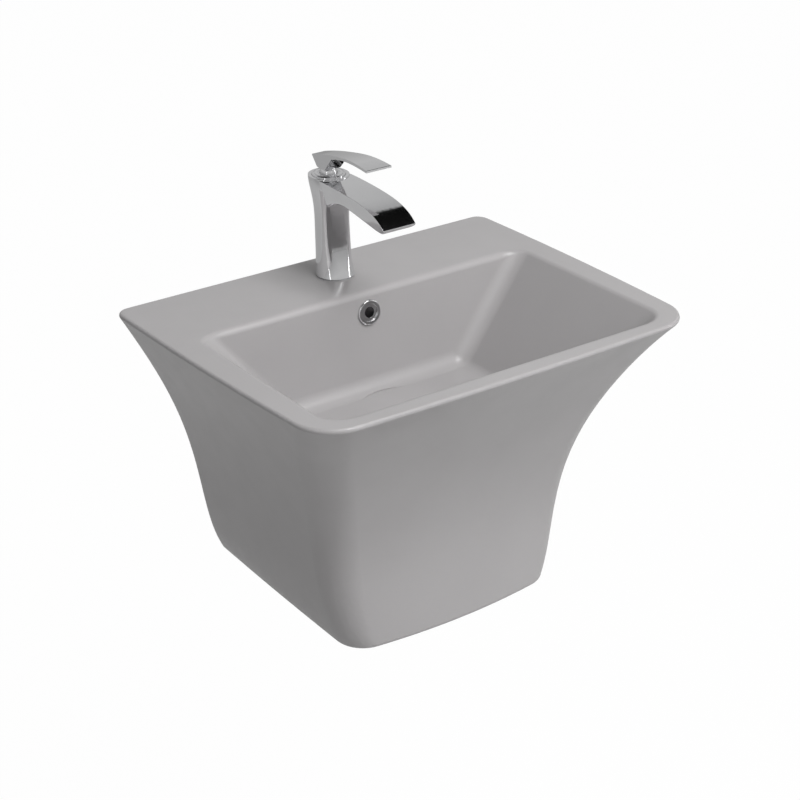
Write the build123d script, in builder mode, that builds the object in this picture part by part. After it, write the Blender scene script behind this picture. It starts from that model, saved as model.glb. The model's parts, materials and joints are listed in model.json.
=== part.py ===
from build123d import *
import math
import os

os.makedirs("parts", exist_ok=True)

# The object is a one-piece ceramic wall basin with a flared skirt and a single-lever tap.
# All sizes are millimetres. +X is to the right seen from the front, +Z is up.
# The origin is on the wall, midway between the two fixing bolts, and the basin fills Y < 0.

# Ceramic shell
DECK_Z = 75.0
BASIN_HEIGHT = 345.0
RIM_BACK_WIDTH = 523.0
RIM_FRONT_WIDTH = 504.0
RIM_DEPTH = 397.0
FOOT_BACK_WIDTH = 268.0
FOOT_FRONT_WIDTH = 284.0
FOOT_DEPTH = 290.0
RIM_CORNERS = (16.0, 48.0)
FOOT_CORNERS = (6.0, 37.0)
SIDE_BOWS = (1.5, 4.5)
FRONT_BOWS = (13.0, 5.0)
SKIRT_WALL = 12.0
DECK_THICKNESS = 14.0
WEB_THICKNESS = 13.0
WEB_HEIGHT = 130.0
RIM_EDGE_RADIUS = 3.5
FOOT_EDGE_RADIUS = 5.5
# Each row is a share of the height, then of the sideways and of the forward flare there.
FLARE = (
    (0.0, 0.0, 0.0),
    (0.2, 0.182, -0.03),
    (0.4, 0.292, 0.023),
    (0.6, 0.455, 0.209),
    (0.8, 0.699, 0.528),
    (1.0, 1.0, 1.0),
)
MIN_CORNER = 3.0
BACK_TRIM = 0.5

# Bowl
BOWL_BACK = 120.0
BOWL_DEPTH = 117.0
SIDE_LEDGE = 27.0
FRONT_LEDGE = 23.0
SIDE_FALL = 101.0
BACK_FALL = 14.0
FRONT_FALL = 66.0
BOWL_BACK_CORNER = 20.0
BOWL_FRONT_CORNER = 36.0
BOWL_FLOOR_FILLET = 20.0
BOWL_EDGE_RADIUS = 9.0
BOWL_WALL = 13.0
FLOOR_THICKNESS = 15.0
DISH_RADIUS = 82.0
DISH_FALL = 8.0

# Drain, waste fitting and plug
DRAIN_Y = -226.0
DRAIN_HOLE_RADIUS = 23.0
DRAIN_SEAT_RADIUS = 35.0
BOSS_RADIUS = 38.0
BOSS_LENGTH = 38.0
WASTE_RADIUS = 22.0
WASTE_BORE_RADIUS = 19.0
WASTE_FLANGE_RADIUS = 32.0
WASTE_FLANGE_THICKNESS = 3.0
WASTE_LENGTH = 66.0
WASTE_SLOT_WIDTH = 16.0
SEAL_THICKNESS = 1.5
LOWER_SEAL_THICKNESS = 6.0
BACKNUT_RADIUS = 31.0
BACKNUT_THICKNESS = 12.0
TAIL_RADIUS = 16.0
TAIL_BORE_RADIUS = 14.0
PLUG_RADIUS = 30.0
PLUG_CROWN = 4.5
PLUG_RIM = 2.5
PLUG_TRAVEL = 8.0
STEM_RADIUS = 4.0
GUIDE_HUB_RADIUS = 8.0
GUIDE_THICKNESS = 12.0
GUIDE_DROP = 26.0
GUIDE_ARM = 5.0
LATCH_RADIUS = 6.5
LATCH_LENGTH = 16.0

# Bottle trap and outlet
TRAP_RADIUS = 33.0
TRAP_WALL = 3.0
TRAP_TOP_DROP = 210.0
TRAP_BOTTOM_CLEARANCE = 14.0
TRAP_HEAD_LENGTH = 66.0
TRAP_SOCKET_RADIUS = 20.0
TRAP_SOCKET_LENGTH = 14.0
TRAP_NUT_RADIUS = 26.0
TRAP_NUT_LENGTH = 17.0
BRANCH_DROP = 38.0
BRANCH_RADIUS = 20.0
BRANCH_REACH = 52.0
DIP_RADIUS = 16.0
PIPE_BEYOND_WALL = 45.0
PIPE_RADIUS = 16.0
PIPE_BORE_RADIUS = 14.0
PIPE_MARK_WIDTH = 1.0
PIPE_MARK_DEPTH = 0.4
ROSE_RADIUS = 38.0
ROSE_DEPTH = 12.0
ROSE_WALL = 1.5
RING_RIBS = 24

# Overflow
OVERFLOW_DROP = 25.0
OVERFLOW_HOLE_RADIUS = 11.5
RING_RADIUS = 15.0
RING_BORE_RADIUS = 6.5
RING_STEP_RADIUS = 10.5
RING_THICKNESS = 3.0
RING_STEP = 1.6
RING_TUBE = 12.0
DUCT_WIDTH = 26.0
DUCT_DEPTH = 9.0
DUCT_WALL = 7.0

# Wall fixings
BOLT_SPACING = 280.0
BOLT_RADIUS = 5.0
BOLT_INTO_WALL = 50.0
BOLT_INTO_BASIN = 50.0
BOLT_HOLE_RADIUS = 8.0
BOLT_WAIST_RADIUS = 4.4
BOLT_WAIST_LENGTH = 3.0
SLEEVE_FLANGE_RADIUS = 13.0
SLEEVE_FLANGE = 2.0
WASHER_RADIUS = 15.0
WASHER_THICKNESS = 2.5
BOLT_NUT_FLATS = 17.0
BOLT_NUT_THICKNESS = 8.0

# Tap column, head and spout. Heights are above the deck.
TAP_Y = -56.0
TAP_HOLE_RADIUS = 17.5
TAP_BASE_RADIUS = 22.5
HEAD_SETBACK = 10.0
HEAD_HEIGHT = 119.5
GASKET_THICKNESS = 1.5
SPOUT_TOP_WIDTH = 43.5
SPOUT_DRAFT = 0.2
SPOUT_EDGE_RADIUS = 4.0
# Each row is a height, a half width, the reach back and forward, and the front corner radius.
COLUMN = (
    (GASKET_THICKNESS, TAP_BASE_RADIUS, TAP_BASE_RADIUS, TAP_BASE_RADIUS, 21.5),
    (12.0, 21.2, 22.8, 17.5, 18.0),
    (30.0, 19.8, 23.5, 12.0, 11.5),
    (52.0, 19.2, 24.5, 9.0, 8.5),
    (78.0, 19.2, 25.8, 8.0, 8.0),
    (100.0, 21.4, 29.6, 10.4, 12.0),
    (HEAD_HEIGHT, 23.4, 33.4, 13.4, 22.4),
)
COLUMN_BACK_ROUNDNESS = 0.96
# Each row is a distance from the wall, then the heights of the top and of the underside.
SPOUT = (
    (58.0, 118.3, 84.0),
    (80.0, 118.0, 95.5),
    (106.0, 116.8, 98.0),
    (130.0, 114.8, 94.0),
    (150.0, 111.6, 90.5),
    (168.0, 105.6, 88.5),
    (182.0, 95.8, 94.2),
)

# Cartridge, stem and lever. Heights are above the deck.
CARTRIDGE_RADIUS = 12.5
CARTRIDGE_NECK_RADIUS = 9.5
CARTRIDGE_FLOOR = 68.0
CARTRIDGE_SHOULDER = 90.0
CARTRIDGE_TOP = 100.0
CARTRIDGE_SEAL = 2.0
CARTRIDGE_NUT_RADIUS = 15.0
CARTRIDGE_NUT_BORE = 7.0
CARTRIDGE_NUT_TOP = 108.0
NUT_NOTCH = 3.0
COLLAR_RADIUS = 19.5
COLLAR_TOP = 121.5
COLLAR_SEAT_DROP = 7.0
COLLAR_GROOVES = ((17.0, 1.2), (12.4, 1.2))
COLLAR_GROOVE_DEPTH = 0.8
PIVOT_HEIGHT = 120.5
BALL_RADIUS = 10.5
BALL_CAVITY_RADIUS = 8.0
BALL_OPENING_DROP = 3.0
ROTOR_RADIUS = 5.0
ROTOR_DEPTH = 16.0
FORK_WIDTH = 12.0
FORK_RADIUS = 4.2
FORK_REACH = 7.5
PIN_RADIUS = 1.5
STEM_THICKNESS = 5.4
STEM_DEPTH = 6.0
STEM_EYE_RADIUS = 4.0
STEM_TOP = 135.5
LEVER_BACK = 26.0
LEVER_FRONT = 144.0
LEVER_BACK_WIDTH = 18.0
LEVER_FRONT_WIDTH = 34.0
# Side profile of the lever: each point is a distance from the wall and a height.
LEVER_TOP = (
    (LEVER_BACK, 139.5),
    (53.0, 146.5),
    (80.0, 151.5),
    (104.0, 154.5),
    (122.0, 154.8),
    (LEVER_FRONT, 153.0),
)
LEVER_UNDER = ((LEVER_FRONT, 150.5), (122.0, 151.5), (104.0, 151.1), (86.0, 148.9), (69.0, 144.5))
LEVER_NECK = ((54.0, 127.2), (37.0, 127.2))
LEVER_HEEL = 138.5
LEVER_EDGE_RADIUS = 0.8
SCREW_RADIUS = 2.5
SCREW_HEIGHT = 132.0
SCREW_LENGTH = 5.0
CAP_SETBACK = 3.0

# Spout outlet
OUTLET_REACH = 163.0
OUTLET_WIDTH = 24.0
OUTLET_LENGTH = 9.0
OUTLET_ROOF = 94.0
OUTLET_DEPTH = 4.5
OUTLET_SLOT = 1.4
OUTLET_SLOTS = 7
OUTLET_FRAME = 1.2

# Tap fixing under the deck, and waterways in the tap
STUD_RADIUS = 4.0
STUD_BACK = 12.0
STUD_IN_BODY = 16.0
STUD_BELOW_DECK = 46.0
CLAMP_RADIUS = 25.0
CLAMP_SLOT_WIDTH = 29.0
CLAMP_SLOT_BACK = 5.0
CLAMP_RUBBER = 3.0
CLAMP_PLATE = 3.0
STUD_NUT_FLATS = 13.0
STUD_NUT_THICKNESS = 7.0
INLET_SPACING = 17.0
INLET_FORWARD = 2.0
INLET_RADIUS = 4.5
INLET_LENGTH = 14.0
PORT_SPACING = 12.0
PORT_FORWARD = 2.0
WATERWAY_RADIUS = 3.0
WATERWAY = ((57.0, 96.5), (110.0, 106.0), (163.0, 95.0))

# Clearances
SEAT_GAP = 0.3
SLIDE_GAP = 0.05
LOOSE_GAP = 0.2
CUT_MARGIN = 2.0

# Places worked out from the sizes above
UNDERSIDE_Z = DECK_Z - BASIN_HEIGHT
DECK_UNDERSIDE_Z = DECK_Z - DECK_THICKNESS
BOWL_WIDTH = RIM_FRONT_WIDTH - 2 * SIDE_LEDGE
BOWL_FRONT = RIM_DEPTH - FRONT_LEDGE
BOWL_FLOOR_WIDTH = BOWL_WIDTH - 2 * SIDE_FALL
BOWL_FLOOR_BACK = BOWL_BACK + BACK_FALL
BOWL_FLOOR_FRONT = BOWL_FRONT - FRONT_FALL
WEB_BOTTOM_Z = DECK_Z - WEB_HEIGHT
FLOOR_Z = DECK_Z - BOWL_DEPTH
DRAIN_SEAT_Z = FLOOR_Z - DISH_FALL
BOSS_BOTTOM_Z = DRAIN_SEAT_Z - BOSS_LENGTH
WASTE_TOP_Z = DRAIN_SEAT_Z + SEAL_THICKNESS + WASTE_FLANGE_THICKNESS
WASTE_BOTTOM_Z = DRAIN_SEAT_Z + SEAL_THICKNESS - WASTE_LENGTH
TRAP_TOP_Z = DECK_Z - TRAP_TOP_DROP
TRAP_BOTTOM_Z = UNDERSIDE_Z + TRAP_BOTTOM_CLEARANCE
TRAP_JOINT_Z = TRAP_TOP_Z - TRAP_HEAD_LENGTH
BRANCH_Z = TRAP_TOP_Z - BRANCH_DROP
BACK_SLOPE = math.degrees(math.atan2(BOWL_FLOOR_BACK - BOWL_BACK, BOWL_DEPTH))
OVERFLOW_Z = DECK_Z - OVERFLOW_DROP
OVERFLOW_Y = -BOWL_BACK - OVERFLOW_DROP * math.tan(math.radians(BACK_SLOPE))
HEAD_Y = TAP_Y + HEAD_SETBACK
PIVOT_Z = DECK_Z + PIVOT_HEIGHT
STUD_Y = TAP_Y + STUD_BACK
INLET_Y = TAP_Y - INLET_FORWARD


def mix(low, high, share):
    """Value a share of the way from low to high."""
    return low + (high - low) * share


def save(name, part):
    """Label a finished piece and write its STEP file."""
    part.label = name
    export_step(part, f"parts/{name}.step")


def outline(plane, half_back, half_front, back, front, radii, side_bow=0.0, front_bow=0.0):
    """Four-cornered outline with a straight back, and sides and front that may bow outwards."""
    half_middle = (half_back + half_front) / 2 + side_bow
    middle = (back + front) / 2
    with BuildSketch(plane) as drawn:
        with BuildLine():
            Line((half_back, back), (-half_back, back))
            if side_bow > 0:
                ThreePointArc((-half_back, back), (-half_middle, middle), (-half_front, front))
                ThreePointArc((half_front, front), (half_middle, middle), (half_back, back))
            else:
                Line((-half_back, back), (-half_front, front))
                Line((half_front, front), (half_back, back))
            if front_bow > 0:
                ThreePointArc((-half_front, front), (0, front - front_bow), (half_front, front))
            else:
                Line((-half_front, front), (half_front, front))
        make_face()
        corners = drawn.vertices().group_by(Axis.Y)
        fillet(corners[-1], radii[0])
        fillet(drawn.vertices().group_by(Axis.Y)[0], radii[1])
    return drawn.sketch


def skirt_section(station, inset, back):
    """Horizontal section of the flared skirt, drawn in by a wall thickness."""
    height, sideways, forward = station
    radii = [
        max(mix(low, high, height) - inset, MIN_CORNER) for low, high in zip(FOOT_CORNERS, RIM_CORNERS)
    ]
    return outline(
        Plane.XY.offset(UNDERSIDE_Z + height * BASIN_HEIGHT),
        mix(FOOT_BACK_WIDTH, RIM_BACK_WIDTH, sideways) / 2 - inset,
        mix(FOOT_FRONT_WIDTH, RIM_FRONT_WIDTH, sideways) / 2 - inset,
        back,
        inset - mix(FOOT_DEPTH, RIM_DEPTH, forward),
        radii,
        mix(SIDE_BOWS[0], SIDE_BOWS[1], height),
        mix(FRONT_BOWS[0], FRONT_BOWS[1], height),
    )


def bowl_form(grow, drop):
    """Tapered bowl with rounded corners, or its outer skin when grown by the wall."""
    top = DECK_Z + grow
    floor = FLOOR_Z - drop
    half_floor = BOWL_FLOOR_WIDTH / 2 + grow
    half_top = BOWL_WIDTH / 2 + grow + grow * (BOWL_WIDTH - BOWL_FLOOR_WIDTH) / 2 / BOWL_DEPTH
    back_floor = grow - BOWL_FLOOR_BACK
    back_top = grow - BOWL_BACK
    front_floor = -grow - BOWL_FLOOR_FRONT
    front_top = -grow - BOWL_FRONT
    with BuildPart() as form:
        with BuildSketch(Plane.XZ):
            with BuildLine():
                Polyline(
                    (-half_top, top), (-half_floor, floor), (half_floor, floor), (half_top, top), close=True
                )
            make_face()
        extrude(amount=RIM_DEPTH * 2, both=True)
        with BuildSketch(Plane.YZ):
            with BuildLine():
                Polyline(
                    (front_top, top), (front_floor, floor), (back_floor, floor), (back_top, top), close=True
                )
            make_face()
        extrude(amount=RIM_BACK_WIDTH, both=True, mode=Mode.INTERSECT)
        level = form.edges().filter_by(Plane.XY)
        slanted = form.edges() - level
        fillet(slanted.group_by(Axis.Y)[-1], BOWL_BACK_CORNER + grow)
        level = form.edges().filter_by(Plane.XY)
        slanted = (form.edges() - level).filter_by(GeomType.LINE)
        fillet(slanted.group_by(Axis.Y)[0], BOWL_FRONT_CORNER + grow)
        fillet(form.faces().sort_by(Axis.Z)[0].edges(), BOWL_FLOOR_FILLET)
    return form.part


wall_of_bowl = Plane(
    origin=(0, OVERFLOW_Y, OVERFLOW_Z),
    x_dir=(1, 0, 0),
    z_dir=(0, -math.cos(math.radians(BACK_SLOPE)), math.sin(math.radians(BACK_SLOPE))),
)
bowl_space = bowl_form(0, 0)
bowl_skin = bowl_form(BOWL_WALL, FLOOR_THICKNESS)

# Overflow duct: down the back of the bowl, then under its floor to the drain
duct_bottom_z = FLOOR_Z - FLOOR_THICKNESS - DUCT_DEPTH
duct_run = (OVERFLOW_Z - duct_bottom_z) / math.cos(math.radians(BACK_SLOPE))
duct_foot_y = OVERFLOW_Y - (OVERFLOW_Z - duct_bottom_z) * math.tan(math.radians(BACK_SLOPE)) + BOWL_WALL


def duct(grow):
    """Overflow passage, or the ceramic round it when grown by its wall."""
    with BuildPart() as passage:
        with BuildSketch(wall_of_bowl.offset(grow - BOWL_WALL)):
            with Locations((0, OVERFLOW_HOLE_RADIUS + grow)):
                Rectangle(
                    DUCT_WIDTH + 2 * grow,
                    duct_run + OVERFLOW_HOLE_RADIUS + 2 * grow,
                    align=(Align.CENTER, Align.MAX),
                )
        extrude(amount=-DUCT_DEPTH - 2 * grow)
        with BuildSketch(Plane.XY.offset(duct_bottom_z - grow)):
            with Locations((0, duct_foot_y + DUCT_DEPTH + grow)):
                Rectangle(
                    DUCT_WIDTH + 2 * grow,
                    duct_foot_y + DUCT_DEPTH - DRAIN_Y - DRAIN_HOLE_RADIUS + 2 * grow + SEAT_GAP,
                    align=(Align.CENTER, Align.MAX),
                )
        extrude(amount=DUCT_DEPTH + 2 * grow)
    return passage.part


# Space under the deck and round the bowl, inside the skirt
with BuildPart() as hollow:
    loft([skirt_section(station, SKIRT_WALL, -WEB_THICKNESS) for station in FLARE])
    with BuildSketch(Plane.XY.offset(DECK_UNDERSIDE_Z)):
        Rectangle(RIM_BACK_WIDTH, RIM_DEPTH * 3)
    extrude(amount=DECK_THICKNESS + CUT_MARGIN, mode=Mode.SUBTRACT)
    add(bowl_skin, mode=Mode.SUBTRACT)
    # The front of the bowl and the skirt share one wall above the floor.
    with BuildSketch(Plane.XY.offset(FLOOR_Z - FLOOR_THICKNESS)):
        with Locations((0, -BOWL_FLOOR_FRONT)):
            Rectangle(RIM_BACK_WIDTH, RIM_DEPTH, align=(Align.CENTER, Align.MAX))
    extrude(amount=BASIN_HEIGHT, mode=Mode.SUBTRACT)
    # Boss round the drain
    with BuildSketch(Plane.XY.offset(BOSS_BOTTOM_Z)):
        with Locations((0, DRAIN_Y)):
            Circle(BOSS_RADIUS)
    extrude(amount=BASIN_HEIGHT, mode=Mode.SUBTRACT)
    add(duct(DUCT_WALL), mode=Mode.SUBTRACT)

# One-piece ceramic basin: deck, bowl and skirt, ground flat where it meets the wall
with BuildPart() as basin_body:
    loft([skirt_section(station, 0, BACK_TRIM) for station in FLARE])
    rim_edges = basin_body.faces().sort_by(Axis.Z)[-1].outer_wire().edges().sort_by(Axis.Y)
    fillet(rim_edges[:-1], RIM_EDGE_RADIUS)
    foot_edges = basin_body.faces().sort_by(Axis.Z)[0].outer_wire().edges().sort_by(Axis.Y)
    fillet(foot_edges[:-1], FOOT_EDGE_RADIUS)
    with BuildSketch(Plane.XZ):
        with Locations((0, UNDERSIDE_Z)):
            Rectangle(RIM_BACK_WIDTH * 2, BASIN_HEIGHT * 3)
    extrude(amount=-CUT_MARGIN, mode=Mode.SUBTRACT)
    add(hollow.part, mode=Mode.SUBTRACT)
    add(bowl_space, mode=Mode.SUBTRACT)
    bowl_edges = basin_body.faces().sort_by(Axis.Z)[-1].inner_wires()[0].edges()
    fillet(bowl_edges, BOWL_EDGE_RADIUS)
    # The skirt is open at the back below the web, for the waste pipe.
    with BuildSketch(Plane.XY.offset(UNDERSIDE_Z)):
        with Locations((0, CUT_MARGIN)):
            Rectangle(
                FOOT_BACK_WIDTH - 2 * SKIRT_WALL,
                WEB_THICKNESS + 2 * CUT_MARGIN,
                align=(Align.CENTER, Align.MAX),
            )
    extrude(amount=BASIN_HEIGHT - WEB_HEIGHT, mode=Mode.SUBTRACT)
    # Dished floor, falling to the flat seat of the waste
    with BuildSketch(Plane.XZ.offset(-DRAIN_Y)):
        with BuildLine():
            fall = Line((0, DRAIN_SEAT_Z), (DRAIN_SEAT_RADIUS, DRAIN_SEAT_Z))
            slope = TangentArc((DISH_RADIUS, FLOOR_Z), fall @ 1, tangent=(-1, 0))
            lid_z = FLOOR_Z + CUT_MARGIN
            Polyline((0, DRAIN_SEAT_Z), (0, lid_z), (DISH_RADIUS, lid_z), slope @ 0)
        make_face()
    revolve(axis=Axis((0, DRAIN_Y, 0), (0, 0, 1)), mode=Mode.SUBTRACT)
    with BuildSketch(Plane.XY.offset(BOSS_BOTTOM_Z - CUT_MARGIN)):
        with Locations((0, DRAIN_Y)):
            Circle(DRAIN_HOLE_RADIUS)
    extrude(amount=BASIN_HEIGHT / 2, mode=Mode.SUBTRACT)
    # Overflow hole and the passage behind it
    with BuildSketch(wall_of_bowl.offset(CUT_MARGIN)):
        Circle(OVERFLOW_HOLE_RADIUS)
    extrude(amount=-BOWL_WALL - CUT_MARGIN - DUCT_DEPTH / 2, mode=Mode.SUBTRACT)
    add(duct(0), mode=Mode.SUBTRACT)
    # Tap hole
    with BuildSketch(Plane.XY.offset(DECK_Z)):
        with Locations((0, TAP_Y)):
            Circle(TAP_HOLE_RADIUS)
    extrude(amount=-DECK_THICKNESS - CUT_MARGIN, mode=Mode.SUBTRACT)
    # Holes for the two wall bolts
    with BuildSketch(Plane.XZ.offset(-CUT_MARGIN)):
        with GridLocations(BOLT_SPACING, 1, 2, 1):
            Circle(BOLT_HOLE_RADIUS)
    extrude(amount=WEB_THICKNESS + 2 * CUT_MARGIN, mode=Mode.SUBTRACT)
save("basin_body", basin_body.part)

# Chrome ring that lines the overflow hole
with BuildPart() as overflow_ring:
    with BuildSketch(wall_of_bowl):
        Circle(RING_RADIUS)
    extrude(amount=RING_THICKNESS)
    into_bowl = Axis(wall_of_bowl.origin, wall_of_bowl.z_dir)
    fillet(overflow_ring.faces().sort_by(into_bowl)[-1].edges(), RING_STEP)
    with BuildSketch(wall_of_bowl):
        Circle(OVERFLOW_HOLE_RADIUS - LOOSE_GAP)
    extrude(amount=-RING_TUBE)
    with BuildSketch(wall_of_bowl.offset(RING_THICKNESS - RING_STEP)):
        Circle(RING_STEP_RADIUS)
    extrude(amount=RING_STEP, mode=Mode.SUBTRACT)
    with BuildSketch(wall_of_bowl.offset(RING_THICKNESS)):
        Circle(RING_BORE_RADIUS)
    extrude(amount=-RING_THICKNESS - RING_TUBE, mode=Mode.SUBTRACT)
save("overflow_ring", overflow_ring.part)


def wall_sketch(y):
    """Plane parallel to the wall at a depth y, with its normal to the front."""
    return Plane.XZ.offset(-y)


# Hanger bolts: wall thread at the back, machine thread through the web
with BuildPart() as hanger_bolts:
    with BuildSketch(wall_sketch(BOLT_INTO_WALL)):
        with GridLocations(BOLT_SPACING, 1, 2, 1):
            Circle(BOLT_RADIUS)
    extrude(amount=BOLT_INTO_WALL + BOLT_INTO_BASIN)
    bolt_ends = hanger_bolts.faces().group_by(Axis.Y)
    chamfer(bolt_ends[0].edges(), BOLT_RADIUS / 5)
    chamfer(hanger_bolts.faces().group_by(Axis.Y)[-1].edges(), BOLT_RADIUS / 2)
    # Waist between the two threads, at the wall's face
    with BuildSketch(wall_sketch(BOLT_WAIST_LENGTH / 2)):
        with GridLocations(BOLT_SPACING, 1, 2, 1):
            Circle(BOLT_RADIUS + CUT_MARGIN)
            Circle(BOLT_WAIST_RADIUS, mode=Mode.SUBTRACT)
    extrude(amount=BOLT_WAIST_LENGTH, mode=Mode.SUBTRACT)
save("hanger_bolts", hanger_bolts.part)

# Plastic sleeves that centre the bolts in the ceramic holes
sleeve_face_y = -WEB_THICKNESS - SLEEVE_FLANGE
with BuildPart() as bolt_sleeves:
    with BuildSketch(wall_sketch(-WEB_THICKNESS)):
        with GridLocations(BOLT_SPACING, 1, 2, 1):
            Circle(SLEEVE_FLANGE_RADIUS)
    extrude(amount=SLEEVE_FLANGE)
    with BuildSketch(wall_sketch(-LOOSE_GAP)):
        with GridLocations(BOLT_SPACING, 1, 2, 1):
            Circle(BOLT_HOLE_RADIUS - LOOSE_GAP)
    extrude(amount=WEB_THICKNESS)
    with BuildSketch(wall_sketch(0)):
        with GridLocations(BOLT_SPACING, 1, 2, 1):
            Circle(BOLT_RADIUS + LOOSE_GAP)
    extrude(amount=WEB_THICKNESS + SLEEVE_FLANGE, mode=Mode.SUBTRACT)
save("bolt_sleeves", bolt_sleeves.part)

with BuildPart() as bolt_washers:
    with BuildSketch(wall_sketch(sleeve_face_y)):
        with GridLocations(BOLT_SPACING, 1, 2, 1):
            Circle(WASHER_RADIUS)
            Circle(BOLT_RADIUS + LOOSE_GAP, mode=Mode.SUBTRACT)
    extrude(amount=WASHER_THICKNESS)
save("bolt_washers", bolt_washers.part)

with BuildPart() as bolt_nuts:
    with BuildSketch(wall_sketch(sleeve_face_y - WASHER_THICKNESS)):
        with GridLocations(BOLT_SPACING, 1, 2, 1):
            RegularPolygon(BOLT_NUT_FLATS / 2, 6, major_radius=False)
            Circle(BOLT_RADIUS, mode=Mode.SUBTRACT)
    extrude(amount=BOLT_NUT_THICKNESS)
save("bolt_nuts", bolt_nuts.part)

# Waste fitting in the drain hole. Everything here turns about the drain's axis.
drain_axis = Axis((0, DRAIN_Y, 0), (0, 0, 1))
drain_section = Plane.XZ.offset(-DRAIN_Y)
cone_top_z = WASTE_BOTTOM_Z + WASTE_RADIUS - TAIL_RADIUS
with BuildPart() as waste_body:
    with BuildSketch(drain_section):
        with BuildLine():
            Polyline(
                (WASTE_BORE_RADIUS, WASTE_TOP_Z - WASTE_FLANGE_THICKNESS / 2),
                (WASTE_FLANGE_RADIUS - WASTE_FLANGE_THICKNESS, WASTE_TOP_Z),
                (WASTE_FLANGE_RADIUS - WASTE_FLANGE_THICKNESS / 2, WASTE_TOP_Z),
                (WASTE_FLANGE_RADIUS, WASTE_TOP_Z - WASTE_FLANGE_THICKNESS / 2),
                (WASTE_FLANGE_RADIUS, WASTE_TOP_Z - WASTE_FLANGE_THICKNESS),
                (WASTE_RADIUS, WASTE_TOP_Z - WASTE_FLANGE_THICKNESS),
                (WASTE_RADIUS, WASTE_BOTTOM_Z),
                (TAIL_RADIUS, WASTE_BOTTOM_Z),
                (TAIL_RADIUS, cone_top_z),
                (WASTE_BORE_RADIUS, cone_top_z + WASTE_BORE_RADIUS - TAIL_RADIUS),
                close=True,
            )
        make_face()
    revolve(axis=drain_axis)
    # Slots that let the overflow water in, front and back
    with BuildSketch(Plane.XZ.offset(-DRAIN_Y + WASTE_RADIUS + CUT_MARGIN)):
        with Locations((0, duct_bottom_z + DUCT_DEPTH / 2)):
            SlotOverall(WASTE_SLOT_WIDTH, DUCT_DEPTH)
    extrude(amount=-2 * (WASTE_RADIUS + CUT_MARGIN), mode=Mode.SUBTRACT)
save("waste_body", waste_body.part)

with BuildPart() as flange_seal:
    with BuildSketch(Plane.XY.offset(DRAIN_SEAT_Z)):
        with Locations((0, DRAIN_Y)):
            Circle(WASTE_FLANGE_RADIUS - SEAL_THICKNESS)
            Circle(WASTE_RADIUS, mode=Mode.SUBTRACT)
    extrude(amount=SEAL_THICKNESS)
save("flange_seal", flange_seal.part)

with BuildPart() as lower_seal:
    with BuildSketch(drain_section):
        with BuildLine():
            Polyline(
                (WASTE_RADIUS, BOSS_BOTTOM_Z),
                (BACKNUT_RADIUS - SEAL_THICKNESS * 2, BOSS_BOTTOM_Z),
                (BACKNUT_RADIUS, BOSS_BOTTOM_Z - LOWER_SEAL_THICKNESS),
                (WASTE_RADIUS, BOSS_BOTTOM_Z - LOWER_SEAL_THICKNESS),
                close=True,
            )
        make_face()
    revolve(axis=drain_axis)
save("lower_seal", lower_seal.part)

backnut_top_z = BOSS_BOTTOM_Z - LOWER_SEAL_THICKNESS
with BuildPart() as backnut:
    with BuildSketch(Plane.XY.offset(backnut_top_z)):
        with Locations((0, DRAIN_Y)):
            RegularPolygon(BACKNUT_RADIUS, 8, major_radius=False)
            Circle(WASTE_RADIUS, mode=Mode.SUBTRACT)
    extrude(amount=-BACKNUT_THICKNESS)
    chamfer(backnut.faces().sort_by(Axis.Z)[0].outer_wire().edges(), SEAL_THICKNESS)
save("backnut", backnut.part)

# Cross inside the waste that guides the plug's stem
guide_top_z = WASTE_TOP_Z - GUIDE_DROP
with BuildPart() as plug_guide:
    with BuildSketch(Plane.XY.offset(guide_top_z)):
        with Locations((0, DRAIN_Y)):
            Rectangle(2 * WASTE_BORE_RADIUS, GUIDE_ARM)
            Rectangle(GUIDE_ARM, 2 * WASTE_BORE_RADIUS)
            Circle(WASTE_BORE_RADIUS, mode=Mode.INTERSECT)
            Circle(GUIDE_HUB_RADIUS)
    extrude(amount=-GUIDE_THICKNESS)
    with BuildSketch(Plane.XY.offset(guide_top_z)):
        with Locations((0, DRAIN_Y)):
            Circle(STEM_RADIUS + SLIDE_GAP)
    extrude(amount=-GUIDE_THICKNESS, mode=Mode.SUBTRACT)
save("plug_guide", plug_guide.part)

# Domed plug that closes the drain, its seal, and the stem with its push latch
plug_seat_z = WASTE_TOP_Z + SEAT_GAP
with BuildPart() as plug_dome:
    with BuildSketch(drain_section):
        with BuildLine():
            base = Line((0, plug_seat_z), (PLUG_RADIUS - SEAL_THICKNESS, plug_seat_z))
            lip = Line(base @ 1, (PLUG_RADIUS, plug_seat_z + SEAL_THICKNESS))
            side = Line(lip @ 1, (PLUG_RADIUS, plug_seat_z + PLUG_RIM))
            crown = TangentArc(
                (0, plug_seat_z + PLUG_RIM + PLUG_CROWN), side @ 1, tangent=(1, 0)
            )
            Line(crown @ 0, base @ 0)
        make_face()
    revolve(axis=drain_axis)
save("plug_dome", plug_dome.part)

# The seal hangs under the dome and closes on the bevel inside the flange.
seal_radius = WASTE_BORE_RADIUS + SEAL_THICKNESS * 2
bevel_slope = WASTE_FLANGE_THICKNESS / 2 / (WASTE_FLANGE_RADIUS - WASTE_FLANGE_THICKNESS - WASTE_BORE_RADIUS)
seal_bottom_z = WASTE_TOP_Z - WASTE_FLANGE_THICKNESS / 2 + SEAT_GAP + bevel_slope * SEAL_THICKNESS * 2
with BuildPart() as plug_seal:
    with BuildSketch(drain_section):
        with Locations((seal_radius, plug_seat_z)):
            Rectangle(SEAL_THICKNESS * 2, plug_seat_z - seal_bottom_z, align=(Align.MAX, Align.MAX))
    revolve(axis=drain_axis)
save("plug_seal", plug_seal.part)

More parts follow.
